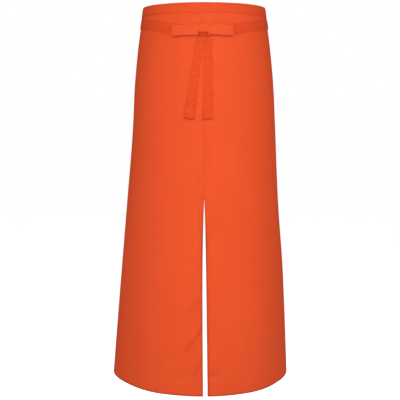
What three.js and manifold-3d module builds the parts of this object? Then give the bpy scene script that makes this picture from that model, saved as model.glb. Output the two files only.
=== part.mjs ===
// A long waist apron with a slit front, as it hangs on a wearer: two half panels joined by a centre
// seam above the slit, a folded waistband, and two ties that cross behind the back and end in a bow at
// the front. Millimetres, +Z up. The wearer faces -Y, so +X is the wearer's left. The origin is the
// centre of the waist at half the waistband's height.
import * as THREE from "three";
import { mergeVertices } from "three/addons/utils/BufferGeometryUtils.js";
import Module from "manifold-3d";

// ---------------------------------------------------------------- driving dimensions

// The apron as it is cut and sewn.
const APRON_LENGTH = 1000; // top of the waistband to the hem
const APRON_WIDTH = 800; // one back edge to the other, round the body
const CLOTH = 0.5; // one layer of twill
const BAND_HEIGHT = 25;
const INTERLINING = 0.3;
const SLIT_LENGTH = 510; // hem to the top of the slit
const SLIT_GAP = 15; // how far the two legs stand apart at the hem
const SLIT_SPREAD = 90; // the drop in which the slit opens to about two thirds of that
const BOTTOM_HEM = 20;
const EDGE_HEM = 12; // slit edges, centre seam allowance and back edges
const LEG_BEND = 60; // the stretch of each panel that flexes when a leg swings

// Ties and bow.
const TIE_WIDTH = 26;
const TIE_THICKNESS = 1.6; // a strip folded to four layers and stitched
const TIE_LAP = 25; // the length of each tie that is sewn inside the band's end
const BOW_DROP = 57; // waistline to the middle of the bow
const KNOT = { width: 26, height: 33, depth: 12, corner: 5 };
const LOOP_LENGTH = 62;
const LOOP_HOLLOW = 3.4; // inside a flattened loop, between its two layers
const TAIL_LENGTH = 202;
const TAIL_LEAN = { left: -0.026, right: 0.122 }; // run away from the centre per millimetre of drop

// How the ties run. The under tie is the wearer's left one: it drops behind the other in the open back.
const UNDER_DROP = BAND_HEIGHT / 2 + TIE_WIDTH - 3.5; // of its middle line, past the back
const UNDER_SHARE = 0.65; // how much of the open back it takes to drop nearly that far
const UNDER_LEFT = 6; // what is left of the drop there
const UNDER_START = 3; // its drop where it leaves the band's end
const OVER_SHARE = 0.35; // how much of the open back the other takes to lift off the body
const OVER_LIFT = 3; // how far it lifts, over the thickness of a tie
const OVER_START = { drop: 3, later: 12, after: 0.5 }; // its drop on the band, and an angle further on
const SIDE_RISE = 7; // how much higher than the under tie's drop both are at the wearer's sides
const BOW_APPROACH = { turn: 0.74, rise: 13 }; // the angle and height from the bow where the ties dip to it

// Sewing thread and label.
const THREAD = 0.5;
const STITCH_INSET = 3; // from a folded edge to its row of stitches
const BOX_STITCH_LINE = 1;
const BARTACK = { width: 12, height: 3, thickness: 0.8 };
const LABEL = { width: 30, height: 42, thickness: 0.3, fromBack: 100 };

// Clearances.
const TOUCHING = 0.3; // between layers that lie on each other and share their grid
const RESTING = 0.9; // between a strap or trim and the curved cloth under it
const HINGE_ROOM = 2; // between the knot and what swings on it

// The wearer's shape at stations below the waistline: half width on the wearer's left and right, and
// half depth.
const FORM = [
  { drop: -15, left: 160, right: 160, depth: 117 },
  { drop: 100, left: 177, right: 177, depth: 131 },
  { drop: 200, left: 187, right: 187, depth: 141 },
  { drop: 300, left: 192.5, right: 192.5, depth: 148 },
  { drop: 500, left: 203, right: 210, depth: 161 },
  { drop: 700, left: 219, right: 228, depth: 175 },
  { drop: 1000, left: 234, right: 254, depth: 195 },
];

// ---------------------------------------------------------------- heights and widths that follow

const BAND_TOP = BAND_HEIGHT / 2;
const BAND_BOTTOM = -BAND_HEIGHT / 2;
const HEM = BAND_TOP - APRON_LENGTH;
const SLIT_TOP = HEM + SLIT_LENGTH;
const BEND_BOTTOM = SLIT_TOP - LEG_BEND;
const HALF_WIDTH = APRON_WIDTH / 2;
const HEM_INSIDE = -2 * CLOTH; // a hem has three layers, two of them inside
const BAND_OUTSIDE = 2 * CLOTH + INTERLINING + 2 * TOUCHING;
const BAND_INSIDE = -TOUCHING - CLOTH;
const COLUMN = 16; // the widest step of the cloth's grid round the body
const ROW = 60; // and down it

// ---------------------------------------------------------------- the wearer's form

// A smooth curve through stations of { [along], [key] }, straight beyond the first and the last. It
// never swings past a station's value.
function smooth(stations, along, key, at) {
  const last = stations.length - 1;
  const rise = (i) => {
    const [here, next] = [stations[i], stations[i + 1]];
    return (next[key] - here[key]) / (next[along] - here[along]);
  };
  const slope = (i) => {
    if (i === 0) return rise(0);
    if (i === last) return rise(last - 1);
    const before = rise(i - 1);
    const after = rise(i);
    return before * after <= 0 ? 0 : (2 * before * after) / (before + after);
  };
  const [first, final] = [stations[0], stations[last]];
  if (at <= first[along]) return first[key] + slope(0) * (at - first[along]);
  if (at >= final[along]) return final[key] + slope(last) * (at - final[along]);
  const i = stations.findIndex((s) => s[along] > at) - 1;
  const a = stations[i];
  const b = stations[i + 1];
  const run = b[along] - a[along];
  const t = (at - a[along]) / run;
  return (
    a[key] * (1 + 2 * t) * (1 - t) ** 2 +
    slope(i) * run * t * (1 - t) ** 2 +
    b[key] * t * t * (3 - 2 * t) +
    slope(i + 1) * run * t * t * (t - 1)
  );
}

function ringAt(up) {
  const keys = ["left", "right", "depth"];
  const [left, right, depth] = keys.map((key) => smooth(FORM, "drop", key, -up));
  return { left, right, depth };
}

// The angle round the body at a distance round it from the centre front, positive towards the wearer's
// left.
function turnAt(round, up) {
  const ring = ringAt(up);
  const half = round < 0 ? ring.right : ring.left;
  const step = Math.PI / 120;
  let left = Math.abs(round);
  let turn = 0;
  for (;;) {
    const middle = turn + step / 2;
    const length = step * Math.hypot(half * Math.cos(middle), ring.depth * Math.sin(middle));
    if (left <= length) return Math.sign(round) * (turn + (step * left) / length);
    left -= length;
    turn += step;
  }
}

// The point at an angle round the body, a height, and a distance out from the skin of the form.
function onBody(turn, up, out) {
  const ring = ringAt(up);
  const half = Math.sin(turn) < 0 ? ring.right : ring.left;
  const normal = new THREE.Vector2(ring.depth * Math.sin(turn), -half * Math.cos(turn)).normalize();
  return new THREE.Vector3(
    half * Math.sin(turn) + out * normal.x,
    -ring.depth * Math.cos(turn) + out * normal.y,
    up,
  );
}

// ---------------------------------------------------------------- making and bending flat pieces

// Moves each vertex of a geometry. Flat pieces hold x round the body, y up and z out until they are bent.
function reshape(geometry, move) {
  const position = geometry.getAttribute("position");
  for (let i = 0; i < position.count; i += 1) {
    const p = move(new THREE.Vector3().fromBufferAttribute(position, i));
    position.setXYZ(i, p.x, p.y, p.z);
  }
  return geometry;
}

function bend(geometry) {
  return reshape(geometry, (p) => onBody(turnAt(p.x, p.y), p.y, p.z));
}

// Evenly spaced numbers from a to b, no further apart than widest.
function spaced(a, b, widest) {
  const steps = Math.max(1, Math.ceil(Math.abs(b - a) / widest));
  return Array.from({ length: steps + 1 }, (_, i) => a + ((b - a) * i) / steps);
}

// A section drawn anticlockwise as (out, up) points and run along the columns. Every cell is split from
// its low corner at one column to its high corner at the next, so that layers which lie on each other
// fold along the same lines. endFaces are the section's own triangles.
function runRound(section, columns, endFaces) {
  const points = [];
  for (const x of columns) for (const [out, up] of section) points.push(x, up, out);
  const count = section.length;
  const at = (i, k) => i * count + (k % count);
  const faces = [];
  for (let i = 0; i < columns.length - 1; i += 1) {
    for (let k = 0; k < count; k += 1) {
      const [a, b, c, d] = [at(i, k), at(i + 1, k), at(i + 1, k + 1), at(i, k + 1)];
      const rising = section[(k + 1) % count][1] >= section[k][1];
      if (rising) faces.push(a, b, c, a, c, d);
      else faces.push(a, b, d, b, c, d);
    }
  }
  const last = columns.length - 1;
  for (const [a, b, c] of endFaces) {
    faces.push(at(0, a), at(0, b), at(0, c), at(last, c), at(last, b), at(last, a));
  }
  const geometry = new THREE.BufferGeometry();
  geometry.setAttribute("position", new THREE.Float32BufferAttribute(points, 3));
  return geometry.setIndex(faces);
}

// A slab of cloth whose grid lines lie at the given columns and rows. z is 0 inside and 1 outside.
function slab(columns, rows) {
  const outside = rows.map((row) => [1, row]);
  const inside = rows.map((row) => [0, row]).reverse();
  const last = 2 * rows.length - 1;
  const endFaces = rows.slice(1).flatMap((_, j) => [
    [j, j + 1, last - j - 1],
    [j, last - j - 1, last - j],
  ]);
  return runRound([...outside, ...inside], columns, endFaces);
}

// A slab between two distances out from the form.
function layer(columns, rows, inside, outside) {
  return reshape(slab(columns, rows), (p) => p.setZ(inside + (outside - inside) * p.z));
}

// An outline drawn as (round, out), made solid from one height up to another.
function runUp(shape, from, to) {
  const run = new THREE.ExtrudeGeometry(shape, { depth: to - from, bevelEnabled: false });
  run.rotateX(Math.PI / 2);
  return run.translate(0, to, 0);
}

const wasm = await Module();
wasm.setup();
const MERGE = 1e-4; // corners closer than this are one

function solidOf(geometry) {
  const bare = geometry.clone().deleteAttribute("normal").deleteAttribute("uv");
  const merged = mergeVertices(bare, MERGE);
  const vertProperties = merged.getAttribute("position").array;
  const triVerts = new Uint32Array(merged.index.array);
  return new wasm.Manifold(new wasm.Mesh({ numProp: 3, vertProperties, triVerts }));
}

// One closed body from pieces that overlap.
function joined(geometries) {
  const mesh = geometries
    .map(solidOf)
    .reduce((a, b) => a.add(b))
    .getMesh();
  const geometry = new THREE.BufferGeometry();
  geometry.setAttribute("position", new THREE.BufferAttribute(new Float32Array(mesh.vertProperties), 3));
  geometry.setIndex(new THREE.BufferAttribute(new Uint32Array(mesh.triVerts), 1));
  return geometry;
}

// ---------------------------------------------------------------- materials

const twill = new THREE.MeshStandardMaterial({ color: 0xeb572b, roughness: 0.85, metalness: 0 });
const thread = new THREE.MeshStandardMaterial({ color: 0xd84a22, roughness: 0.6, metalness: 0 });
const interlining = new THREE.MeshStandardMaterial({ color: 0xf0ede6, roughness: 0.95, metalness: 0 });
const labelTape = new THREE.MeshStandardMaterial({ color: 0xf4f2ec, roughness: 0.7, metalness: 0 });

const apron = new THREE.Group();

function add(name, geometry, material) {
  const mesh = new THREE.Mesh(geometry, material);
  mesh.name = name;
  apron.add(mesh);
}

// ---------------------------------------------------------------- panels

const SIDES = [
  { name: "left", sign: 1 },
  { name: "right", sign: -1 },
];

// Half the distance between the two panels: the seam's clearance above the slit, and the open slit
// below its top.
function halfGap(up) {
  const below = Math.max(0, SLIT_TOP - up);
  return TOUCHING / 2 + ((SLIT_GAP - TOUCHING) / 2) * (1 - Math.exp(-below / SLIT_SPREAD));
}

// Distances from a panel's centre edge to its grid lines, close together where a hem ends, with one
// under each row of stitches.
const FOLD_STEP = 1;
const SLIT_LINE = EDGE_HEM - STITCH_INSET;
const BACK_LINE = HALF_WIDTH - EDGE_HEM + STITCH_INSET;
const panelColumns = [
  0,
  SLIT_LINE,
  EDGE_HEM,
  ...spaced(EDGE_HEM + FOLD_STEP, HALF_WIDTH - EDGE_HEM - FOLD_STEP, COLUMN),
  HALF_WIDTH - EDGE_HEM,
  BACK_LINE,
  HALF_WIDTH,
];

// The same grid lines on one side of the body, in ascending order.
function onSide(distances, sign) {
  return sign > 0 ? distances : distances.map((d) => -d).reverse();
}

// A stretch of one panel between two heights. Its hems and seam allowance are folded to the inside.
function panel(sign, rows) {
  const flat = slab(onSide(panelColumns, sign), rows);
  return reshape(flat, (p) => {
    const distance = Math.abs(p.x);
    const inEdge = distance <= EDGE_HEM || distance >= HALF_WIDTH - EDGE_HEM;
    const folded = p.y < BAND_BOTTOM - FOLD_STEP / 2 && (inEdge || p.y <= hemTop);
    const inside = folded ? HEM_INSIDE : 0;
    const round = sign * (distance + halfGap(p.y));
    return onBody(turnAt(round, p.y), p.y, p.z > 0.5 ? CLOTH : inside);
  });
}

const seamRows = spaced(SLIT_TOP, BAND_BOTTOM - FOLD_STEP, ROW);
const upperRows = [...seamRows, BAND_BOTTOM, BAND_TOP - CLOTH - TOUCHING];
const bendRows = spaced(BEND_BOTTOM, SLIT_TOP - TOUCHING, ROW / 2);
const hemTop = HEM + BOTTOM_HEM;
const lowerRows = [HEM, hemTop, ...spaced(hemTop + FOLD_STEP, BEND_BOTTOM - TOUCHING, ROW)];

for (const { name, sign } of SIDES) {
  add(`${name}_panel_upper`, panel(sign, upperRows), twill);
  add(`${name}_panel_bend`, panel(sign, bendRows), twill);
  add(`${name}_panel_lower`, panel(sign, lowerRows), twill);
}

// ---------------------------------------------------------------- waistband

const bandColumns = [...onSide(panelColumns, -1), ...panelColumns.slice(1)];
const innerLeaf = BAND_OUTSIDE - CLOTH;

// A strip folded over the panels' top edges, with a leaf outside and one inside.
function waistband() {
  const section = [
    [BAND_INSIDE, BAND_BOTTOM],
    [BAND_INSIDE + CLOTH, BAND_BOTTOM],
    [BAND_INSIDE + CLOTH, BAND_TOP - CLOTH],
    [innerLeaf, BAND_TOP - CLOTH],
    [innerLeaf, BAND_BOTTOM],
    [BAND_OUTSIDE, BAND_BOTTOM],
    [BAND_OUTSIDE, BAND_TOP],
    [BAND_INSIDE, BAND_TOP],
  ];
  const flat = section.map(([out, up]) => new THREE.Vector2(out, up));
  return bend(runRound(section, bandColumns, THREE.ShapeUtils.triangulateShape(flat, [])));
}

// A row of stitches round the band's face at one height.
function bandStitches(up) {
  const inside = BAND_OUTSIDE + TOUCHING;
  return bend(layer(bandColumns, [up - THREAD / 2, up + THREAD / 2], inside, inside + THREAD));
}

const interliningRows = [BAND_BOTTOM + TOUCHING, BAND_TOP - CLOTH - TOUCHING];
const interliningInside = CLOTH + TOUCHING;

add("waistband", waistband(), twill);
add(
  "waistband_interlining",
  bend(layer(bandColumns, interliningRows, interliningInside, interliningInside + INTERLINING)),
  interlining,
);
add("waistband_seam_stitch", bandStitches(BAND_BOTTOM + STITCH_INSET), thread);
add("waistband_top_stitch", bandStitches(BAND_TOP - STITCH_INSET), thread);

// ---------------------------------------------------------------- seams and hems

// A row of stitches up or down a panel, at a distance from its centre edge.
function uprightStitches(sign, distance, rows) {
  const columns = onSide([distance - THREAD / 2, distance + THREAD / 2], sign);
  return reshape(slab(columns, rows), (p) => {
    const round = p.x + sign * halfGap(p.y);
    return onBody(turnAt(round, p.y), p.y, CLOTH + TOUCHING + THREAD * p.z);
  });
}

// The stitches that run down the slit, along the hem and up the back edge of one leg.
function legStitches(sign) {
  const hemLine = hemTop - STITCH_INSET;
  const rows = [hemLine - THREAD / 2, ...lowerRows.slice(1)];
  const along = onSide(panelColumns.slice(1, -1), sign);
  const hem = reshape(slab(along, [hemLine - THREAD / 2, hemLine + THREAD / 2]), (p) => {
    const round = p.x + sign * halfGap(p.y);
    return onBody(turnAt(round, p.y), p.y, CLOTH + TOUCHING + THREAD * p.z);
  });
  const slit = uprightStitches(sign, SLIT_LINE, rows);
  const back = uprightStitches(sign, BACK_LINE, rows);
  return joined([hem, slit, back]);
}

for (const { name, sign } of SIDES) {
  add(`${name}_back_edge_stitch`, uprightStitches(sign, BACK_LINE, seamRows), thread);
  add(`${name}_leg_hem_stitch`, legStitches(sign), thread);
}

// The thread that holds the two panels together, in the ditch of the seam on its inner side.
const seamInside = HEM_INSIDE - TOUCHING - THREAD;
add(
  "centre_seam_stitch",
  bend(layer([-THREAD, THREAD], seamRows, seamInside, seamInside + THREAD)),
  thread,
);

// A dense bar of stitches that stops the slit tearing upwards.
const bartackRows = [SLIT_TOP + TOUCHING, SLIT_TOP + TOUCHING + BARTACK.height];
const bartackColumns = spaced(-BARTACK.width / 2, BARTACK.width / 2, BARTACK.width / 2);
const bartackInside = CLOTH + TOUCHING;
add(
  "slit_bartack",
  bend(layer(bartackColumns, bartackRows, bartackInside, bartackInside + BARTACK.thickness)),
  thread,
);

// ---------------------------------------------------------------- ties

const FULL_TURN = 2 * Math.PI;
const lapOut = HEM_INSIDE - RESTING - TIE_THICKNESS; // inside the band's end
const overPanel = CLOTH + RESTING;
const overBand = BAND_OUTSIDE + RESTING + THREAD + RESTING;
const bandEnd = turnAt(HALF_WIDTH, 0);
const lapStart = turnAt(HALF_WIDTH - TIE_LAP, 0);
const knotEdge = turnAt(KNOT.width / 2 + TOUCHING, -BOW_DROP);
const openBack = 2 * (Math.PI - bandEnd); // the gap between the band's ends, as an angle
const pastBack = bandEnd + openBack;
const farSide = Math.PI * 1.5;
const toBow = [
  { turn: FULL_TURN - BOW_APPROACH.turn, drop: BOW_DROP - BOW_APPROACH.rise, out: overPanel },
  { turn: FULL_TURN - knotEdge, drop: BOW_DROP, out: overPanel },
];

// Stations along a tie by turn from its own side of the apron: past the back, round the other side, to
// the front. The under tie runs below the waistband; the over tie passes over the band's other end.
const UNDER_TIE = [
  { turn: lapStart, drop: 0, out: lapOut },
  { turn: bandEnd, drop: UNDER_START, out: lapOut },
  { turn: bandEnd + openBack * UNDER_SHARE, drop: UNDER_DROP - UNDER_LEFT, out: lapOut + 2 * TOUCHING },
  { turn: pastBack, drop: UNDER_DROP, out: overPanel },
  { turn: farSide, drop: UNDER_DROP - SIDE_RISE, out: overPanel },
  ...toBow,
];
const OVER_TIE = [
  { turn: lapStart, drop: 0, out: lapOut },
  { turn: bandEnd, drop: 0, out: lapOut },
  { turn: bandEnd + openBack * OVER_SHARE, drop: 0, out: lapOut + TIE_THICKNESS + OVER_LIFT },
  { turn: pastBack, drop: OVER_START.drop, out: overBand },
  { turn: pastBack + OVER_START.after, drop: OVER_START.later, out: overBand },
  { turn: farSide, drop: UNDER_DROP - SIDE_RISE, out: overBand },
  ...toBow,
];
const TIE_STEPS = 72; // grid columns along a tie
const TIE_EDGE_LINE = -TIE_WIDTH / 2 + STITCH_INSET;
const TIE_ROWS = [-TIE_WIDTH / 2, TIE_EDGE_LINE, TIE_WIDTH / 2];

// A strip that follows a tie's stations between two turns, from one distance out to another over the
// tie's inner face.
function alongTie(sign, stations, from, to, rows, inside, outside) {
  const step = (to - from) / TIE_STEPS;
  const flat = slab(onSide(spaced(from, to, step), sign), rows);
  return reshape(flat, (p) => {
    const turn = Math.abs(p.x);
    const up = p.y - smooth(stations, "turn", "drop", turn);
    const out = smooth(stations, "turn", "out", turn) + inside + (outside - inside) * p.z;
    return onBody(sign * turn, up, out);
  });
}

const STITCH_BASE = TIE_THICKNESS + TOUCHING;

for (const { name, sign } of SIDES) {
  const stations = sign > 0 ? UNDER_TIE : OVER_TIE;
  const end = stations[stations.length - 1].turn;
  const line = [TIE_EDGE_LINE - THREAD / 2, TIE_EDGE_LINE + THREAD / 2];
  add(`${name}_tie`, alongTie(sign, stations, lapStart, end, TIE_ROWS, 0, TIE_THICKNESS), twill);
  add(
    `${name}_tie_edge_stitch`,
    alongTie(sign, stations, bandEnd, end, line, STITCH_BASE, STITCH_BASE + THREAD),
    thread,
  );
}

// A square of stitches with a cross in it, which holds a tie inside the band's end.
function boxStitch(sign) {
  const line = BOX_STITCH_LINE;
  const half = BAND_HEIGHT / 2 - STITCH_INSET - THREAD;
  const shape = new THREE.Shape([
    new THREE.Vector2(-half, -half),
    new THREE.Vector2(half, -half),
    new THREE.Vector2(half, half),
    new THREE.Vector2(-half, half),
  ]);
  const inner = half - line;
  const centre = new THREE.Vector2();
  for (const quarter of [0, 1, 2, 3]) {
    const corner = (x, y) => new THREE.Vector2(x, y).rotateAround(centre, (quarter * Math.PI) / 2);
    const low = corner(-inner + line, -inner);
    const high = corner(inner - line, -inner);
    shape.holes.push(new THREE.Path([low, high, corner(0, -line)]));
  }
  const square = new THREE.ExtrudeGeometry(shape, { depth: THREAD, bevelEnabled: false });
  square.translate(sign * (HALF_WIDTH - TIE_LAP / 2), 0, BAND_OUTSIDE + RESTING);
  return square;
}

// ---------------------------------------------------------------- bow

const bowMiddle = -BOW_DROP;

// A strip's outline as a flat loop, closed at both ends. Points follow its long sides closely enough
// to bend.
function loopShape(sign) {
  const depth = LOOP_HOLLOW + 2 * TIE_THICKNESS;
  const ring = (inset) => {
    const radius = depth / 2 - inset;
    const near = depth / 2;
    const far = LOOP_LENGTH - depth / 2;
    const points = [];
    for (const x of spaced(near, far, COLUMN / 2)) points.push([x, inset]);
    for (const a of [-60, -30, 0, 30, 60]) {
      const angle = THREE.MathUtils.degToRad(a);
      points.push([far + radius * Math.cos(angle), depth / 2 + radius * Math.sin(angle)]);
    }
    for (const x of spaced(far, near, COLUMN / 2)) points.push([x, depth - inset]);
    for (const a of [120, 150, 180, 210, 240]) {
      const angle = THREE.MathUtils.degToRad(a);
      points.push([near + radius * Math.cos(angle), depth / 2 + radius * Math.sin(angle)]);
    }
    return points.map(([x, out]) => new THREE.Vector2(sign * x, out));
  };
  const shape = new THREE.Shape(ring(0));
  shape.holes.push(new THREE.Path(ring(TIE_THICKNESS).reverse()));
  return shape;
}

function bowLoop(sign) {
  const run = runUp(loopShape(sign), bowMiddle - TIE_WIDTH / 2, bowMiddle + TIE_WIDTH / 2);
  run.translate(sign * (KNOT.width / 2 + HINGE_ROOM), 0, overPanel + STITCH_BASE + THREAD + RESTING);
  return bend(run);
}

function knot() {
  const { width, height, depth, corner } = KNOT;
  const shape = new THREE.Shape();
  const x = width / 2;
  const y = height / 2;
  shape.moveTo(-x + corner, -y);
  shape.lineTo(x - corner, -y);
  shape.absarc(x - corner, -y + corner, corner, -Math.PI / 2, 0);
  shape.absarc(x - corner, y - corner, corner, 0, Math.PI / 2);
  shape.absarc(-x + corner, y - corner, corner, Math.PI / 2, Math.PI);
  shape.absarc(-x + corner, -y + corner, corner, Math.PI, Math.PI * 1.5);
  const settings = { depth: depth - RESTING, bevelEnabled: false, curveSegments: 4 };
  const body = new THREE.ExtrudeGeometry(shape, settings);
  return bend(body.translate(0, bowMiddle, overPanel));
}

// A strip on a tail, which hangs from under the knot and lies against the panel.
function alongTail(side, sign, columns, rows, inside, outside) {
  const top = bowMiddle - KNOT.height / 2 - HINGE_ROOM;
  const drops = rows.map((row) => top - row);
  return reshape(slab(columns, drops), (p) => {
    const middle = sign * (TIE_WIDTH / 2 + TOUCHING + TAIL_LEAN[side] * (top - p.y));
    const out = overPanel + RESTING + inside + (outside - inside) * p.z;
    return onBody(turnAt(middle + p.x, p.y), p.y, out);
  });
}

const tailColumns = [-TIE_WIDTH / 2, 0, TIE_WIDTH / 2];
const tailRows = spaced(TAIL_LENGTH, 0, ROW / 2);
const tailEndLine = TAIL_LENGTH - 2 * STITCH_INSET;
const tailEndRows = [tailEndLine + THREAD / 2, tailEndLine - THREAD / 2];
const tailEndColumns = [-TIE_WIDTH / 2 + THREAD, 0, TIE_WIDTH / 2 - THREAD];

add("knot", knot(), twill);
for (const { name, sign } of SIDES) {
  add(`${name}_tie_box_stitch`, bend(boxStitch(sign)), thread);
  add(`${name}_bow_loop`, bowLoop(sign), twill);
  add(`${name}_tail`, alongTail(name, sign, tailColumns, tailRows, 0, TIE_THICKNESS), twill);
  add(
    `${name}_tail_end_stitch`,
    alongTail(name, sign, tailEndColumns, tailEndRows, STITCH_BASE, STITCH_BASE + THREAD),
    thread,
  );
}

// ---------------------------------------------------------------- label

// A blank care label that hangs inside from the waistband's lower edge.
const labelOutside = HEM_INSIDE - RESTING;
const labelTop = BAND_BOTTOM - TOUCHING;
const labelMiddle = HALF_WIDTH - LABEL.fromBack;
add(
  "care_label",
  bend(
    layer(
      spaced(labelMiddle - LABEL.width / 2, labelMiddle + LABEL.width / 2, LABEL.width / 2),
      [labelTop - LABEL.height, labelTop],
      labelOutside - LABEL.thickness,
      labelOutside,
    ),
  ),
  labelTape,
);

export default apron;
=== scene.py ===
"""A long waist apron as it hangs on a wearer: two half panels, a waistband, and ties that end in a bow.

Metres, +Z up. The wearer faces -Y, and left and right are the wearer's. Cloth is laid on the form of the
body: a place on it is a turn round the body from the centre front, a height, and a distance out.
"""

import math

import bpy
import numpy as np
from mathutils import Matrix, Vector


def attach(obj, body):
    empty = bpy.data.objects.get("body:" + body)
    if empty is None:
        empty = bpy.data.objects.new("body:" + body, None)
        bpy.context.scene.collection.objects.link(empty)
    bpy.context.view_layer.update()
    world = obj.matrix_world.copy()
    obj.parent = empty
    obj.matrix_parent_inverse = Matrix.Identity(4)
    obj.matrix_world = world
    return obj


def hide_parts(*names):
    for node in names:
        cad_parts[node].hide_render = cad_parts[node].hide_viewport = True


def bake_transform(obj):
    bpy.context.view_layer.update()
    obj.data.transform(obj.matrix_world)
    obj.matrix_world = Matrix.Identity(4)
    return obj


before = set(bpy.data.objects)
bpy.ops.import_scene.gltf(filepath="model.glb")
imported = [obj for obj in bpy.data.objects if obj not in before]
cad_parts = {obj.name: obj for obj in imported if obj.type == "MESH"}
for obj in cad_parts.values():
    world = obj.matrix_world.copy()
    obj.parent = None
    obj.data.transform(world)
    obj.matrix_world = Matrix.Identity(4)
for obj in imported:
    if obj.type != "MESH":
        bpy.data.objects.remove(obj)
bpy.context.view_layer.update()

MM = 0.001

# ------------------------ sizes

LEFT, RIGHT = 1, -1
SIDES = {"left": LEFT, "right": RIGHT}

# Panels and band. A distance out is counted from the form, and the cloth's back lies on it.
APRON_LENGTH = 1.0
HALF_WIDTH = 0.4
CLOTH = 0.5 * MM
BAND_HEIGHT = 25 * MM
BAND_TOP = BAND_HEIGHT / 2
BAND_BOTTOM = -BAND_HEIGHT / 2
BAND_FACE = 2.3 * MM
BAND_BACK = -0.8 * MM
HEM = BAND_TOP - APRON_LENGTH
SLIT_TOP = HEM + 0.51
SLIT_OPEN = {LEFT: 3.4 * MM, RIGHT: 7.9 * MM}  # how far each flap stands back from the middle
SLIT_SPREAD = 0.12  # the drop in which the slit opens to about two thirds of that
SLIT_LEAN = {LEFT: 5.0 * MM, RIGHT: -4.8 * MM}  # how much further at the hem, as the slit leans to the left
SEAM_GROOVE = 0.3 * MM
BOTTOM_HEM = 20 * MM
EDGE_HEM = 12 * MM
FOLD_STEP = 1 * MM  # the stretch in which a hem's edge falls back to one layer
HEM_BACK = -1.0 * MM
FOLD_ROUND = 0.45 * MM  # how much a folded edge rounds off on each face
PUCKER_HEIGHT = 0.22 * MM
PUCKER_PITCH = 8.5 * MM  # along a row of stitches
PULL_PITCH = 7.2 * MM  # one gather of the slit's edge to the next
PULL_TOP = -0.66  # the height below which the slit's edge gathers
LABEL_WIDTH = 30 * MM
LABEL_HEIGHT = 42 * MM
LABEL_TUCK = 3 * MM
LABEL_MIDDLE = 0.3  # along the cloth from the centre front

# Stitches.
STITCH_INSET = 3 * MM
STITCH_PITCH = 3.2 * MM
STITCH_LENGTH = 2.5 * MM
STITCH_WIDTH = 0.6 * MM
STITCH_SEED = 4
BARTACK_WIDTH = 12 * MM
SUNK_IN = 0.15 * MM  # how deep a stitch sits in the cloth's outer face

# Ties and bow.
TIE_WIDTH = 26 * MM
TIE_THICKNESS = 1.2 * MM
TIE_LAP = 25 * MM
TIE_END = 2 * math.pi - 0.075  # the turn at which a tie goes under the knot
KNOTWARD = 0.12  # the turn over which a tie gathers towards the knot
OVER_PANEL = 0.8 * MM
OVER_BAND = 2.6 * MM
LAP_OUT = HEM_BACK - 0.9 * MM - TIE_THICKNESS
BELOW_BAND = -BAND_BOTTOM + TIE_WIDTH - 4.5 * MM  # a tie's drop where it passes under the band's edge
UNDER_SHARE = 0.65  # how much of the open back the under tie takes to drop
OVER_SHARE = 0.35  # how much of it the over tie takes to lift off the body
BOW_MIDDLE = -57 * MM
KNOT_WIDTH = 31.5 * MM
KNOT_HEIGHT = 33 * MM
KNOT_ASIDE = -1.3 * MM  # the knot sits a little to the wearer's right
KNOT_BACK = 0.9 * MM
KNOT_FOOT = 1.2 * MM
BOW_HIGHLIGHT = 0.8  # how much paler the bow is painted, a painted highlight, from 0 to 1
LOOP_START = {"left": 13.8 * MM, "right": 16.4 * MM}
LOOP_END = {"left": 72.5 * MM, "right": 82 * MM}
LOOP_BASE = OVER_PANEL + TIE_THICKNESS + 0.4 * MM
LOOP_TILT = 0.1  # how much further out a loop's lower edge stands than its upper one, over its width
LOOP_RISE = {"left": 1.4 * MM, "right": 0.0}
TAIL_TOP = BOW_MIDDLE - KNOT_HEIGHT / 2 - 2 * MM
TAIL_LENGTH = 202 * MM
TAIL_HEM = 10 * MM

# Weave.
TWILL_PITCH = 0.9 * MM  # from one diagonal rib to the next
YARN_PITCH = 0.35 * MM
WEAVE_DEPTH = 0.14 * MM
CRUMPLE_DEPTH = 1.2 * MM

# Studio.
CAMERA_PLACE = (-0.011, -1.8763, -0.2499)
CAMERA_DOWN = 7.645  # degrees below level
CAMERA_LENS = 61.6
AMBIENT = 0.11
FLOOR_SIZE = 60.0
FLOOR_DROP = 0.6  # how far the floor is below the hem
FLOOR_GLOW = 0.9
# Soft lamps: name, place, what each faces, width and height, power, and spread in degrees.
LAMPS = [
    ("key", (0.1, -2.2, 1.35), (0, 0, -0.25), (2.0, 0.9), 8.9, 110),
    ("left_side", (1.75, -1.85, -0.1), (0, 0, -0.55), (1.0, 1.4), 11.2, 120),
    ("right_side", (-1.75, -1.85, -0.1), (0, 0, -0.55), (1.0, 1.4), 11.1, 120),
    ("fill", (0.1, -2.7, -0.1), (0, 0, -0.3), (2.4, 1.2), 3.2, 85),
    ("back", (0, 2.6, 0.7), (0, 0, -0.4), (1.4, 1.2), 16, 100),
]

# The wearer's shape at stations below the waistline: half width on each side, and half depth.
FORM_DROP = np.array([-0.015, 0.1, 0.2, 0.3, 0.5, 0.7, 1.0])
FORM_LEFT = np.array([0.16, 0.177, 0.187, 0.1925, 0.203, 0.219, 0.234])
FORM_RIGHT = np.array([0.16, 0.177, 0.187, 0.1925, 0.21, 0.228, 0.254])
FORM_DEPTH = np.array([0.117, 0.131, 0.141, 0.148, 0.161, 0.175, 0.195])

# ------------------------ the wearer's form


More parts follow.
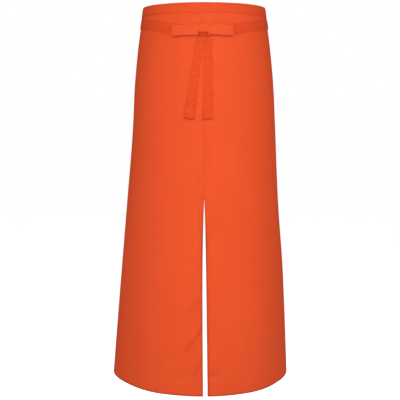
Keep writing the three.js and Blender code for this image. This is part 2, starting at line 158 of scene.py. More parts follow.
def smooth(along, values, at):
    """A curve through the values that never swings past one, straight beyond the first and the last."""
    at = np.asarray(at, float)
    rise = np.diff(values) / np.diff(along)
    before, after = rise[:-1], rise[1:]
    product = before * after
    total = np.where(before + after == 0, 1, before + after)
    middle = np.where(product > 0, 2 * product / total, 0)
    slope = np.concatenate([rise[:1], middle, rise[-1:]])
    inside = np.clip(at, along[0], along[-1])
    i = np.clip(np.searchsorted(along, inside, side="right") - 1, 0, len(along) - 2)
    run = along[i + 1] - along[i]
    t = (inside - along[i]) / run
    curve = (
        values[i] * (1 + 2 * t) * (1 - t) ** 2
        + slope[i] * run * t * (1 - t) ** 2
        + values[i + 1] * t * t * (3 - 2 * t)
        + slope[i + 1] * run * t * t * (t - 1)
    )
    return curve + np.where(at < along[0], slope[0], slope[-1]) * (at - inside)


def ring(side, up):
    """Half width on one side and half depth of the form at a height."""
    half = np.where(side > 0, smooth(FORM_DROP, FORM_LEFT, -up), smooth(FORM_DROP, FORM_RIGHT, -up))
    return half, smooth(FORM_DROP, FORM_DEPTH, -up)


ANGLES = np.linspace(0, math.pi, 181)


def turn_at(side, distance, up):
    """The turn from the centre front at a distance along the cloth, on one side."""
    distance, up = np.broadcast_arrays(np.asarray(distance, float), np.asarray(up, float))
    half, depth = ring(side, up.ravel())
    middle = (ANGLES[1:] + ANGLES[:-1]) / 2
    arcs = np.hypot(half[:, None] * np.cos(middle), depth[:, None] * np.sin(middle)) * np.diff(ANGLES)
    lengths = np.concatenate([np.zeros((len(arcs), 1)), np.cumsum(arcs, axis=1)], axis=1)
    flat = distance.ravel()
    found = np.array([np.interp(abs(d), row, ANGLES) for d, row in zip(flat, lengths)])
    return side * (np.sign(flat) * found).reshape(distance.shape)


def bell(distance, width):
    """1 at no distance, fading to nothing at about twice the width."""
    return np.exp(-((distance / width) ** 2))


def ridge(across, up, start, end, width):
    """1 along the line from start to end, fading to 0 at about twice the width from it."""
    a, b = np.array(start), np.array(end)
    d = b - a
    t = np.clip(((across - a[0]) * d[0] + (up - a[1]) * d[1]) / (d @ d), 0, 1)
    away = np.hypot(across - a[0] - t * d[0], up - a[1] - t * d[1])
    return bell(away, width)


# Soft creases in the cloth: where each starts and ends across the front and up, how wide it is and how far
# it stands out. The slit's corners pull, and more on the wearer's right.
CREASES = [
    ((-0.064, -0.93), (-0.006, -0.866), 10 * MM, 4.2 * MM),
    ((-0.046, -0.87), (-0.008, -0.82), 8 * MM, -3.2 * MM),
    ((-0.05, -0.85), (-0.01, -0.805), 8 * MM, 2.0 * MM),
    ((-0.034, -0.765), (-0.02, -0.745), 9 * MM, -2.6 * MM),
    ((-0.026, -0.935), (-0.006, -0.905), 8 * MM, -3.0 * MM),
    ((0.01, -0.935), (0.036, -0.925), 10 * MM, -2.6 * MM),
    ((0.008, -0.958), (0.03, -0.945), 6 * MM, 2.0 * MM),
    ((0.008, -0.79), (0.03, -0.81), 9 * MM, -1.4 * MM),
    ((0.0, -0.47), (0.0, -0.3), 12 * MM, -1.0 * MM),
]

# Long upright waves: the turn each is at, where it starts below the waistline, and its swing at the hem.
WAVES = [
    (0.62, 0.1, 0.22, 2.4 * MM),
    (-0.55, 0.25, 0.2, 1.8 * MM),
    (-0.95, 0.3, 0.2, -2.2 * MM),
    (1.05, 0.3, 0.18, -2.0 * MM),
    (1.5, 0.2, 0.2, 1.5 * MM),
    (-1.45, 0.2, 0.2, 3.5 * MM),
    (1.86, 0.15, 0.15, -9 * MM),
    (-1.82, 0.12, 0.16, -10 * MM),
    (2.14, 0.15, 0.14, 9 * MM),
    (-2.12, 0.1, 0.15, 9 * MM),
    (2.38, 0.2, 0.1, -7 * MM),
    (-2.38, 0.2, 0.1, -6 * MM),
]


def creased(turn, up):
    """How far the creases in front stand out: below 0 in their valleys."""
    half, _ = ring(np.where(turn < 0, RIGHT, LEFT), up)
    across = half * np.sin(turn)
    out = np.zeros(turn.shape)
    for start, end, width, height in CREASES:
        out = out + height * ridge(across, up, start, end, width)
    return np.where(np.abs(turn) < 1.2, out, 0)


def drape(turn, up):
    """How far the cloth stands out from the form by its own creases and waves."""
    turn, up = np.broadcast_arrays(np.asarray(turn, float), np.asarray(up, float))
    out = creased(turn, up)
    for middle, start, width, height in WAVES:
        grow = np.clip((-up - start) / (1 - start), 0, 1) ** 1.3
        out = out + height * grow * bell(turn - middle, width)
    return out


def on_form(turn, up, out):
    """The point at a turn round the body, a height, and a distance out."""
    turn, up, out = np.broadcast_arrays(*(np.asarray(v, float) for v in (turn, up, out)))
    side = np.where(np.sin(turn) < 0, RIGHT, LEFT)
    half, depth = ring(side, up)
    nx, ny = depth * np.sin(turn), -half * np.cos(turn)
    length = np.hypot(nx, ny)
    x = half * np.sin(turn) + out * nx / length
    y = -depth * np.cos(turn) + out * ny / length
    return np.stack([x, y, up], axis=-1)


def on_cloth(turn, up, out):
    """As on_form, but counted from the draped cloth."""
    wrapped = (turn + math.pi) % (2 * math.pi) - math.pi
    return on_form(turn, up, out + drape(wrapped, up))


def half_gap(side, up, face=0.0):
    """A panel's distance from the middle.

    Above the slit the two meet at the back of the seam and leave a narrow groove in front (face 1), and below
    its top the slit is open.
    """
    below = np.maximum(0, SLIT_TOP - up)
    meet = np.exp(-below / 0.005)
    opened = SLIT_OPEN[side] * (1 - np.exp(-below / SLIT_SPREAD))
    leaning = SLIT_LEAN[side] * below / (SLIT_TOP - HEM)
    return opened + leaning + meet * (face * SEAM_GROOVE - 0.08 * MM)


# ------------------------ meshes


def add_object(name, data):
    """A new object in the scene."""
    piece = bpy.data.objects.new(name, data)
    bpy.context.collection.objects.link(piece)
    return piece


def new_object(name, points, faces, uvs=None, material=None):
    mesh = bpy.data.meshes.new(name)
    mesh.from_pydata([tuple(p) for p in points], [], faces)
    mesh.validate()
    if uvs is not None:
        layer = mesh.uv_layers.new(name="cloth")
        corner = np.empty(len(mesh.loops), int)
        mesh.loops.foreach_get("vertex_index", corner)
        layer.data.foreach_set("uv", np.asarray(uvs, np.float32)[corner].ravel())
    mesh.polygons.foreach_set("use_smooth", [True] * len(mesh.polygons))
    if material is not None:
        mesh.materials.append(material)
    mesh.update()
    return add_object(name, mesh)


def closed_sheet(name, outer, inner, uv, material):
    """A closed sheet between two grids of points, each rows by columns, with a soft rim."""
    rows, columns = outer.shape[:2]
    count = rows * columns
    grid = np.arange(count).reshape(rows, columns)
    front = [
        (grid[j, i], grid[j, i + 1], grid[j + 1, i + 1], grid[j + 1, i])
        for j in range(rows - 1)
        for i in range(columns - 1)
    ]
    back = [(a + count, d + count, c + count, b + count) for a, b, c, d in front]
    loop = (
        [grid[0, i] for i in range(columns)]
        + [grid[j, -1] for j in range(1, rows)]
        + [grid[-1, i] for i in range(columns - 2, -1, -1)]
        + [grid[j, 0] for j in range(rows - 2, 0, -1)]
    )
    rim = [(a, a + count, b + count, b) for a, b in zip(loop, loop[1:] + loop[:1])]
    points = np.concatenate([outer.reshape(-1, 3), inner.reshape(-1, 3)])
    uvs = np.concatenate([uv.reshape(-1, 2)] * 2)
    faces = [tuple(int(i) for i in f) for f in front + back + rim]
    piece = new_object(name, points, faces, uvs, material)
    sharpen(piece)
    return piece


def tube_faces(rings, around):
    """The faces of a tube of point rings, with its ends capped."""
    grid = np.arange(rings * around).reshape(rings, around)
    faces = []
    for i in range(rings - 1):
        for k in range(around):
            m = (k + 1) % around
            faces.append((grid[i, k], grid[i, m], grid[i + 1, m], grid[i + 1, k]))
    faces.append(tuple(grid[0, ::-1]))
    faces.append(tuple(grid[-1]))
    return [tuple(int(v) for v in f) for f in faces]


def tube(name, sections, uv, material):
    """A closed body from sections of points, each a ring, along a path."""
    sections = np.array(sections)
    faces = tube_faces(*sections.shape[:2])
    piece = new_object(name, sections.reshape(-1, 3), faces, np.array(uv).reshape(-1, 2), material)
    outwards(piece)
    sharpen(piece)
    return piece


def paint(piece, painted_light):
    """Painted light and shade at each point: 1 is a painted highlight, paler, and -1 painted shade, darker.
    """
    layer = piece.data.attributes.new("painted_light", "FLOAT", "POINT")
    layer.data.foreach_set("value", np.asarray(painted_light, np.float32).ravel())


def outwards(piece):
    """Turns a closed body's faces to point out."""
    mesh = piece.data
    volume = 0.0
    for polygon in mesh.polygons:
        corners = [mesh.vertices[i].co for i in polygon.vertices]
        for b, c in zip(corners[1:], corners[2:]):
            volume += corners[0].dot(b.cross(c))
    if volume < 0:
        mesh.flip_normals()


def sharpen(piece):
    """Folded and cut edges stay crisp, and the rest shades smooth."""
    piece.data.set_sharp_from_angle(angle=math.radians(50))


# ------------------------ materials


def from_srgb(red, green, blue):
    parts = [v / 255 for v in (red, green, blue)]
    return tuple(v / 12.92 if v <= 0.04045 else ((v + 0.055) / 1.055) ** 2.4 for v in parts) + (1.0,)


class Nodes:
    """Short names for building a tree of nodes."""

    def __init__(self, tree):
        self.tree = tree
        tree.nodes.clear()

    def add(self, kind, values=None, **settings):
        node = self.tree.nodes.new(kind)
        for key, value in settings.items():
            setattr(node, key, value)
        for key, value in (values or {}).items():
            if isinstance(value, bpy.types.NodeSocket):
                self.tree.links.new(value, node.inputs[key])
            else:
                node.inputs[key].default_value = value
        return node

    def math(self, operation, a, b=0.0):
        return self.add("ShaderNodeMath", {0: a, 1: b}, operation=operation).outputs[0]

    def total(self, *parts):
        """The sum of values, each times its share."""
        found = 0.0
        for value, share in parts:
            found = self.math("ADD", found, self.math("MULTIPLY", value, share))
        return found

    def finish(self, values):
        """The surface and the material's output."""
        surface = self.add("ShaderNodeBsdfPrincipled", values)
        self.add("ShaderNodeOutputMaterial", {"Surface": surface.outputs[0]})

    def mix(self, factor, a, b):
        node = self.add("ShaderNodeMix", data_type="RGBA")
        for socket, value in ((node.inputs[0], factor), (node.inputs[6], a), (node.inputs[7], b)):
            if isinstance(value, bpy.types.NodeSocket):
                self.tree.links.new(value, socket)
            else:
                socket.default_value = value
        return node.outputs[2]


def times(colour, factors):
    """A colour made darker or stronger channel by channel."""
    return tuple(min(1.0, c * k) for c, k in zip(colour[:3], factors)) + (1.0,)


def noise(n, uv, scale, **values):
    """Noise at a place on or in the piece."""
    settings = {"Vector": uv, "Scale": scale}
    settings.update(values)
    return n.add("ShaderNodeTexNoise", settings).outputs[0]


def spread(n, value, low, high, start, end):
    """The value between low and high taken to between start and end."""
    return n.add("ShaderNodeMapRange", {0: value, 1: low, 2: high, 3: start, 4: end}).outputs[0]


def wear_and_painted_light(n, cloth, colour, worn):
    """Paler at raised worn edges, with painted highlight and painted shade from the mark, and painted shade
    in hollows.
    """
    painted_mark = n.add("ShaderNodeAttribute", attribute_name="painted_light").outputs["Fac"]
    # Painted highlight: paler and pinker where the mark is above 0.
    cloth = n.mix(painted_mark, cloth, times(colour, (1.03, 1.22, 1.6)))
    edge = n.add("ShaderNodeNewGeometry").outputs["Pointiness"]
    paler = tuple(min(1.0, c * 1.25 + 0.03) for c in colour[:3]) + (1.0,)
    cloth = n.mix(spread(n, edge, 0.52, 0.62, 0.0, worn), cloth, paler)
    # Painted shade: darker in sunk hollows, such as the knot's tuck and the creases.
    cloth = n.mix(spread(n, edge, 0.485, 0.4, 0.0, 0.6), cloth, times(colour, (0.62, 0.5, 0.5)))
    # Painted shade: darker where the mark is below 0.
    return n.mix(spread(n, painted_mark, 0.0, -1.0, 0.0, 1.0), cloth, times(colour, (0.4, 0.4, 0.55)))


def twill(name, colour, shade, roughness=0.88, worn=0.35):
    """Woven polyester-cotton twill: diagonal ribs, uneven yarns, a faint mottle, worn edges, and painted
    highlight and shade.
    """
    material = bpy.data.materials.new(name)
    material.use_nodes = True
    n = Nodes(material.node_tree)
    uv = n.add("ShaderNodeUVMap", uv_map="cloth").outputs[0]
    part = n.add("ShaderNodeSeparateXYZ", {0: uv})
    across, up = part.outputs[0], part.outputs[1]
    diagonal = n.total((across, 1.0), (up, 0.55))
    ribs = n.math("SINE", n.math("MULTIPLY", diagonal, 2 * math.pi / TWILL_PITCH))
    yarns = n.math("SINE", n.math("MULTIPLY", up, 2 * math.pi / YARN_PITCH))
    warp_place = n.add("ShaderNodeMapping", {"Vector": uv, "Scale": (900, 60, 1)}).outputs[0]
    weft_place = n.add("ShaderNodeMapping", {"Vector": uv, "Scale": (60, 900, 1)}).outputs[0]
    warp = noise(n, warp_place, 1.0, Detail=2.0)
    weft = noise(n, weft_place, 1.0, Detail=2.0)
    mottle = noise(n, uv, 22.0, Detail=4.0, Roughness=0.6)
    broad = noise(n, uv, 5.0, Detail=2.0)
    threads = n.total((warp, 0.5), (weft, 0.5))
    tone = n.total((threads, 0.35), (mottle, 0.4), (broad, 0.35), (ribs, 0.03))
    cloth = n.mix(spread(n, tone, 0.3, 0.8, 0.0, 1.0), shade, colour)
    height = n.total((ribs, 0.5), (yarns, 0.15), (threads, 1.2))
    weave = n.add("ShaderNodeBump", {"Height": height, "Strength": 0.6, "Distance": WEAVE_DEPTH})
    crinkle = noise(n, uv, 45.0, Detail=3.0)
    crumple = n.add(
        "ShaderNodeBump",
        {"Height": crinkle, "Strength": 0.25, "Distance": CRUMPLE_DEPTH, "Normal": weave.outputs[0]},
    )
    n.finish(
        {
            "Base Color": wear_and_painted_light(n, cloth, colour, worn),
            "Roughness": spread(n, mottle, 0.3, 0.7, roughness - 0.05, roughness + 0.07),
            "Sheen Weight": 0.03,
            "Sheen Roughness": 0.5,
            "Sheen Tint": tuple(0.4 + 0.6 * c for c in colour[:3]) + (1.0,),
            "Specular IOR Level": 0.1,
            "Normal": crumple.outputs[0],
        }
    )
    return material


def thread_material(name, colour):
    """Spun sewing thread: plied strands with a slight gloss."""
    material = bpy.data.materials.new(name)
    material.use_nodes = True
    n = Nodes(material.node_tree)
    place = n.add("ShaderNodeTexCoord").outputs["Object"]
    fuzz = noise(n, place, 2500.0, Detail=2.0)
    tone = n.mix(fuzz, times(colour, (0.8, 0.8, 0.8)), colour)
    bump = n.add("ShaderNodeBump", {"Height": fuzz, "Strength": 0.3, "Distance": 0.1 * MM})
    n.finish({"Base Color": tone, "Roughness": 0.7, "Specular IOR Level": 0.15, "Normal": bump.outputs[0]})
    return material


ORANGE = from_srgb(240, 88, 44)
ORANGE_SHADE = from_srgb(230, 80, 39)
panel_cloth = twill("panel_twill", ORANGE, ORANGE_SHADE)
band_cloth = twill("band_twill", from_srgb(238, 85, 42), from_srgb(227, 77, 37))
tie_cloth = twill("tie_twill", from_srgb(234, 81, 38), from_srgb(222, 72, 33), worn=0.3)
thread = thread_material("orange_thread", from_srgb(226, 76, 36))
LABEL_WHITE = from_srgb(244, 242, 236)
LABEL_SHADE = from_srgb(232, 229, 222)
label_tape = twill("label_tape", LABEL_WHITE, LABEL_SHADE, roughness=0.6, worn=0.0)

# ------------------------ panels


def cloth_uv(along, across):
    """The place of each point on the cloth's own flat."""
    return np.stack(np.broadcast_arrays(along, across), axis=-1)


def steps(*stops):
    """Numbers from the first stop to the last, with (end, widest step) for each stretch."""
    here = stops[0]
    found = [here]
    for end, widest in stops[1:]:
        count = max(1, math.ceil(abs(end - here) / widest))
        found += [here + (end - here) * (i + 1) / count for i in range(count)]
        here = end
    return np.array(found)


panel_distances = steps(
    0.0,
    (3 * MM, 1 * MM),
    (EDGE_HEM, 2 * MM),
    (EDGE_HEM + FOLD_STEP, FOLD_STEP),
    (0.1, 4 * MM),
    (HALF_WIDTH - EDGE_HEM - FOLD_STEP, 6 * MM),
    (HALF_WIDTH - EDGE_HEM, FOLD_STEP),
    (HALF_WIDTH - 1 * MM, 3 * MM),
    (HALF_WIDTH, 1 * MM),
)
panel_ups = steps(
    HEM,
    (HEM + 1 * MM, 1 * MM),
    (HEM + BOTTOM_HEM, 4 * MM),
    (HEM + BOTTOM_HEM + FOLD_STEP, FOLD_STEP),
    (-0.66, 1.8 * MM),
    (BAND_BOTTOM, 7 * MM),
    (BAND_BOTTOM + 5 * MM, 5 * MM),
)


def gathers(distance, up, hem_line):
    """How the stitched hems pucker and the slit's edge gathers, as a share of the puckers' height."""
    along = up + distance
    pucker = np.sin(2 * math.pi * along / PUCKER_PITCH) * bell(hem_line, 6 * MM)
    pucker = pucker * (0.6 + 0.4 * np.sin(2 * math.pi * along / 0.057))
    pull = np.sin(2 * math.pi * up / PULL_PITCH) * (0.65 + 0.35 * np.sin(2 * math.pi * up / 0.043))
    at_slit = bell(distance, 5 * MM) * np.clip((PULL_TOP - up) / 0.05, 0, 1)
    return pucker + 1.9 * pull * at_slit


def painted_shade_at(turn, distance, up):
    """How much painted shade darkens a panel: at its open edges, along its hem and back edge, and in the
    creases' valleys.
    """
    open_edge = np.clip((SLIT_TOP - up) / 0.02, 0, 1) * bell(distance, 4 * MM)
    beads = 0.75 + 0.25 * np.sin(2 * math.pi * up / PULL_PITCH + 1)
    painted_shade = np.maximum(open_edge * beads, bell(up - HEM, 3 * MM))
    painted_shade = np.maximum(painted_shade, 0.5 * np.exp(-(HALF_WIDTH - distance) / (1.6 * MM)))
    return np.maximum(painted_shade, 0.16 * np.clip(-creased(turn, up) / (3 * MM), 0, 1))


def panel(name, side):
    """One half of the skirt, a single sheet with its hems folded to the inside."""
    distance, up = np.meshgrid(panel_distances, panel_ups)
    turn = turn_at(side, distance + half_gap(side, up), up)
    lip = np.exp(-distance / (4 * MM))
    outer_turn = turn_at(side, distance + half_gap(side, up, lip), up)
    near_edge = np.minimum(distance, HALF_WIDTH - distance)
    near_hem = up - HEM
    folded = (near_edge <= EDGE_HEM) | (near_hem <= BOTTOM_HEM)
    rim = np.minimum(near_edge, near_hem)
    seamed = (distance < EDGE_HEM) * np.exp(-np.maximum(0, SLIT_TOP - up) / 0.01)
    rounded = FOLD_ROUND * np.exp(-rim / (0.8 * MM)) * (1 - 0.8 * seamed)
    edge_line = np.abs(near_edge - EDGE_HEM + STITCH_INSET)
    bottom_line = np.abs(near_hem - BOTTOM_HEM + STITCH_INSET)
    hem_line = np.minimum(edge_line, bottom_line)
    pucker = PUCKER_HEIGHT * gathers(distance, up, hem_line)
    sunk = 0.25 * MM * bell(hem_line, 1.5 * MM)
    outer = on_cloth(outer_turn, up, CLOTH - rounded - sunk + pucker)
    inner = on_cloth(turn, up, np.where(folded, HEM_BACK, 0) + rounded + pucker)
    uv = cloth_uv(side * distance, up)
    # Painted shade, darker at the slit's edges, along the hem and the back edge, and in the creases' valleys.
    painted_shade = painted_shade_at(turn, distance, up)
    if side == RIGHT:
        outer, inner, uv, painted_shade = outer[:, ::-1], inner[:, ::-1], uv[:, ::-1], painted_shade[:, ::-1]
    piece = closed_sheet(name, outer, inner, uv, panel_cloth)
    paint(piece, np.concatenate([-painted_shade.ravel(), -painted_shade.ravel()]))
    return piece


panels = {word: panel(f"{word}_panel", side) for word, side in SIDES.items()}

# ------------------------ waistband


def rounded_section(inside, outside, low, high, turns=4):
    """A folded strip's section as (out, up) points, round at the top fold and tight at the bottom one."""
    middle, half = (inside + outside) / 2, (outside - inside) / 2
    points = [(inside, low + half * 0.4), (inside + half * 0.4, low), (outside - half * 0.15, low)]
    for height in np.linspace(low + half * 0.15, high - half, 11):
        points.append((outside, height))
    for i in range(1, turns):
        angle = math.pi * i / turns
        points.append((middle + half * math.cos(angle), high - half + half * math.sin(angle)))
    for height in np.linspace(high - half, low + 3 * half, 3):
        points.append((inside, height))
    return np.array(points)


def waistband():
    near_end = HALF_WIDTH - 1 * MM
    distances = steps(-HALF_WIDTH, (-near_end, 1 * MM), (near_end, 4 * MM), (HALF_WIDTH, 1 * MM))
    section = rounded_section(BAND_BACK, BAND_FACE, BAND_BOTTOM, BAND_TOP)
    sections = []
    uv = []
    for s in distances:
        side = LEFT if s >= 0 else RIGHT
        end = min(1.0, (HALF_WIDTH - abs(s)) / (1.2 * MM))
        pinch = 0.55 + 0.45 * math.sqrt(end)
        out = section[:, 0] * pinch
        up = section[:, 1] * (0.985 + 0.015 * end)
        rows = np.minimum(np.abs(up - BAND_BOTTOM - STITCH_INSET), np.abs(BAND_TOP - up - STITCH_INSET))
        face = np.clip((out - 0.5 * MM) / (1 * MM), 0, 1)
        swell = 1 - bell(rows, 2.2 * MM)
        ripple = math.sin(2 * math.pi * s / (9.5 * MM)) * (0.6 + 0.4 * math.sin(2 * math.pi * s / 0.071))
        out = out + face * (0.35 * MM * (swell - 0.6) + 0.13 * MM * ripple * (1.4 - swell))
        sections.append(on_cloth(turn_at(side, abs(s), up), up, out))
        uv.append(cloth_uv(s, up + 0.3))
    return tube("waistband_piece", sections, uv, band_cloth)


band = waistband()

# ------------------------ ties

BAND_END = {word: float(turn_at(side, HALF_WIDTH, 0.0)) * side for word, side in SIDES.items()}
# A tie's section: share of the half width, and share of the thickness from its inner face.
TIE_SECTION = np.array(
    [
        (-1.0, 0.5), (-0.985, 0.85), (-0.93, 1.0), (-0.84, 0.97), (-0.77, 0.8), (-0.7, 0.97), (-0.35, 1.0),
        (0.0, 1.0), (0.35, 1.0), (0.7, 0.97), (0.77, 0.85), (0.84, 0.97), (0.93, 1.0), (0.985, 0.85),
        (1.0, 0.5), (0.985, 0.15), (0.93, 0.0), (0.35, 0.0), (-0.35, 0.0), (-0.93, 0.0), (-0.985, 0.15),
    ]
)  # fmt: skip


def tie_stations(word):
    """(turn, drop, out) for each station along a tie, as rows of an array."""
    end = BAND_END[word]
    lap = float(turn_at(SIDES[word], HALF_WIDTH - TIE_LAP, 0.0)) * SIDES[word]
    gap = 2 * (math.pi - end)
    side = math.pi * 1.5  # the turn at the wearer's other side
    if word == "left":
        rows = [
            (lap, 0, LAP_OUT),
            (end, 3 * MM, LAP_OUT),
            (end + gap * UNDER_SHARE, BELOW_BAND - 5 * MM, LAP_OUT + 0.6 * MM),
            (end + gap, BELOW_BAND + 1 * MM, OVER_PANEL),
            (side, BELOW_BAND - 6 * MM, OVER_PANEL),
        ]
    else:
        rows = [
            (lap, 0, LAP_OUT),
            (end, 0, LAP_OUT),
            (end + gap * OVER_SHARE, 0, LAP_OUT + TIE_THICKNESS + 3 * MM),
            (end + gap, 3 * MM, OVER_BAND),
            (end + gap + 0.5, 12 * MM, OVER_BAND),
            (side, BELOW_BAND - 7 * MM, OVER_BAND - 1 * MM),
        ]
    rows += [
        (2 * math.pi - 0.74, -BOW_MIDDLE - 13 * MM, OVER_PANEL),
        (2 * math.pi - 0.49, -BOW_MIDDLE - 6 * MM, OVER_PANEL),
        (TIE_END, -BOW_MIDDLE, OVER_PANEL),
    ]
    return np.array(rows).T


def along_tie(word, turn, across, out):
    """The place at a turn along a tie, a distance across it, and a distance out from its inner face."""
    turns, drops, outs = tie_stations(word)
    wobble = 0.5 * MM * np.sin(turn * 9 + SIDES[word]) + 0.3 * MM * np.sin(turn * 23)
    up = -smooth(turns, drops, turn) + across + wobble
    base = smooth(turns, outs, turn)
    return on_cloth(SIDES[word] * turn, up, base + out)


def tie(word):
    """A folded strip from the band's end round the wearer to the knot, where it is gathered narrower."""
    turns = tie_stations(word)[0]
    u, thick = TIE_SECTION.T
    face = np.clip(thick - 0.2, 0, 1)
    sections = []
    uv = []
    for t in np.linspace(turns[0], turns[-1], 220):
        knotward = np.clip((t - (turns[-1] - KNOTWARD)) / KNOTWARD, 0, 1)
        across = u * (TIE_WIDTH / 2 * (1 - 0.3 * knotward))
        soft = 0.25 * MM * np.sin(t * 31 + u * 2) + 0.5 * MM * (1 - u**2)
        out = thick * TIE_THICKNESS + soft * face
        sections.append(along_tie(word, t, across, out))
        uv.append(cloth_uv(t * 0.15, across + 0.5))
    return tube(f"{word}_tie_piece", sections, uv, tie_cloth)


ties = {word: tie(word) for word in SIDES}

# ------------------------ bow


def near_front(across, up, out):
    """A place near the centre front: across the front along the cloth, a height and a distance out."""
    across, up, out = np.broadcast_arrays(*(np.asarray(v, float) for v in (across, up, out)))
    turn = np.where(across < 0, turn_at(RIGHT, np.abs(across), up), turn_at(LEFT, np.abs(across), up))
    return on_cloth(turn, up, out)


def loop_section(word, t):
    """A loop's strip at a share of its length: its place across the front, heights and distances out."""
    side = SIDES[word]
    u = TIE_SECTION[:, 0]
    front = 1 if t < 0.5 else -1
    share = 1 - abs(1 - 2 * t)
    away = math.sin(math.pi / 2 * share) ** 0.9
    near_end = max(0.0, (away - 0.93) / 0.07)
    round_end = math.sqrt(max(0.0, 1 - near_end**2))
    belly = 1.3 * MM * math.sin(math.pi * (0.15 + 0.7 * away)) + 0.5 * MM
    across = u * TIE_WIDTH / 2 * (0.94 + 0.08 * min(1.0, away / 0.3) ** 0.7)
    gather = math.exp(-away / 0.1)
    pleat = 0.5 * MM * gather * np.cos(u * 2.3 * math.pi + side) + 0.3 * MM * np.sin(u * 2.1 + away * 5)
    lean = LOOP_TILT * (TIE_WIDTH / 2 - across) * (1 if front > 0 else 0.55)
    thick = (TIE_SECTION[:, 1] - 0.5) * TIE_THICKNESS * front
    out = LOOP_BASE + 1.8 * MM + front * belly * round_end + thick + pleat + lean
    sag = 0.9 * MM * away - 0.9 * MM * math.sin(math.pi * away)
    up = BOW_MIDDLE + LOOP_RISE[word] * (1 - 0.4 * away) + across - sag
    at = side * (LOOP_START[word] + (LOOP_END[word] - LOOP_START[word]) * away)
    return at, across, up, np.maximum(out, LOOP_BASE - 0.3 * MM)


def bow_loop(word):
    """A strip that leaves the knot in front, turns at the far end and comes back to it behind."""
    length = LOOP_END[word] - LOOP_START[word]
    sections = []
    uv = []
    for t in np.linspace(0, 1, 90):
        at, across, up, out = loop_section(word, t)
        sections.append(near_front(at, up, out))
        uv.append(cloth_uv(t * 2 * length, across + 0.7))
    piece = tube(f"{word}_loop_piece", sections, uv, tie_cloth)
    # Painted highlight: the whole loop is painted paler.
    paint(piece, np.ones(len(piece.data.vertices)) * BOW_HIGHLIGHT)
    return piece


# The knot's front from its top to its foot: height over its half height, and how far it stands out in mm.
KNOT_FRONT = [
    (1.0, 2.6), (0.96, 3.8), (0.86, 4.8), (0.6, 6.0), (0.3, 6.8), (0.05, 7.2), (-0.12, 7.0), (-0.22, 6.2),
    (-0.3, 4.4), (-0.36, 1.8), (-0.5, 0.9), (-0.7, 0.7), (-0.85, 1.4), (-1.0, 1.2),
]  # fmt: skip


def knot_front(x, fine):
    """The knot's front at a share of its half width: how far out each height is, and how tucked in."""
    heights = np.array([h for h, _ in KNOT_FRONT])
    fronts = np.array([f for _, f in KNOT_FRONT]) * MM
    # The upper part runs lower on the wearer's left.
    lower = 0.5 / (1 + math.exp(-(x - 0.66) / 0.05)) + 0.08 * x + 0.05 * math.sin(x * 7)
    height = fine + lower * np.clip((0.35 - fine) / 0.45, 0, 1)
    profile = np.interp(-height, -heights, fronts)
    tucked = np.clip((5.6 * MM - profile) / (3 * MM), 0, 1) * (fine < 0.3)
    folds = 1.5 * MM * np.abs(np.sin(x * 4.6 + fine * 3.4 + 0.6)) ** 0.7 * tucked
    # A small roll of cloth stands beside the tuck.
    roll = 4.2 * MM * bell(x + 0.93, 0.16) * bell(fine + 0.45, 0.32)
    crease = 0.3 * MM * np.cos(x * 4 + fine * 2.6) * (1 - tucked)
    edge = (1 - abs(x) ** 5) ** 0.6
    full = KNOT_FOOT + (profile - KNOT_FOOT) * (0.75 + 0.25 * edge)
    return full + (folds + crease) * edge + roll, tucked


def knot():
    """The strip over the middle of the bow: full above, and gathered into folds where it tucks under."""
    fine = np.linspace(1, -1, 61)
    back_up = np.linspace(-1, 1, 7)
    sections = []
    uv = []
    painted_light = []
    for x in np.linspace(-1, 1, 57):
        front_out, tucked = knot_front(x, fine)
        front_up = fine * (1 - 0.05 * x**2 * (fine > 0))
        out = np.concatenate([front_out, np.full(len(back_up), KNOT_BACK)])
        up = BOW_MIDDLE + np.concatenate([front_up, back_up * 0.97]) * KNOT_HEIGHT / 2
        at = KNOT_ASIDE + x * KNOT_WIDTH / 2
        sections.append(near_front(at, up, out))
        uv.append(cloth_uv(np.concatenate([fine, back_up]) * 0.02, at + 0.9))
        # Painted highlight on the knot's front, and painted shade in its tucked folds.
        painted_light.append(np.concatenate([BOW_HIGHLIGHT - 1.3 * tucked, np.zeros(len(back_up))]))
    piece = tube("knot_piece", sections, uv, tie_cloth)
    paint(piece, painted_light)
    return piece


# How each tail lies down its length: share of the length, turn of its edges in degrees, and lift off the
# panel in mm.
TAIL_TWIST = {
    "left": [
        (0, 0, 0.8), (0.1, 2, 0.4), (0.2, -1, 0.1), (0.3, -2, 0.0), (0.345, 2, 0.1), (0.46, -2, 0.1),
        (0.54, 2, 0.1), (0.65, -2, 0.1), (0.71, 3, 0.2), (0.86, -2, 0.2), (0.9, 1, 0.4), (0.95, 3, 2.2),
        (1, 2, 4.0),
    ],
    "right": [
        (0, 0, 0.8), (0.12, -2, 0.3), (0.24, 1, 0.0), (0.4, -1, 0.0), (0.55, 2, 0.0), (0.68, 2, 0.1),
        (0.8, 2, 0.3), (0.86, -1, 0.1), (0.92, -3, 1.8), (1, 0, 4.0),
    ],
}  # fmt: skip
# Where each tail runs: share of the length, its middle across the front in mm, and its width over the tie's.
TAIL_PATH = {
    "left": [(0, 12.6, 0.55), (0.17, 10.4, 0.72), (0.3, 8.4, 0.88), (0.6, 8.6, 0.9), (1, 8.0, 0.92)],
    "right": [(0, -7.0, 0.86), (0.17, -13.8, 0.9), (0.3, -19.6, 0.87), (0.6, -28.4, 0.9), (1, -38.2, 0.95)],
}
TAIL_SLANT = {"left": 0.08, "right": -0.1}  # how much further the lower end slopes across its width
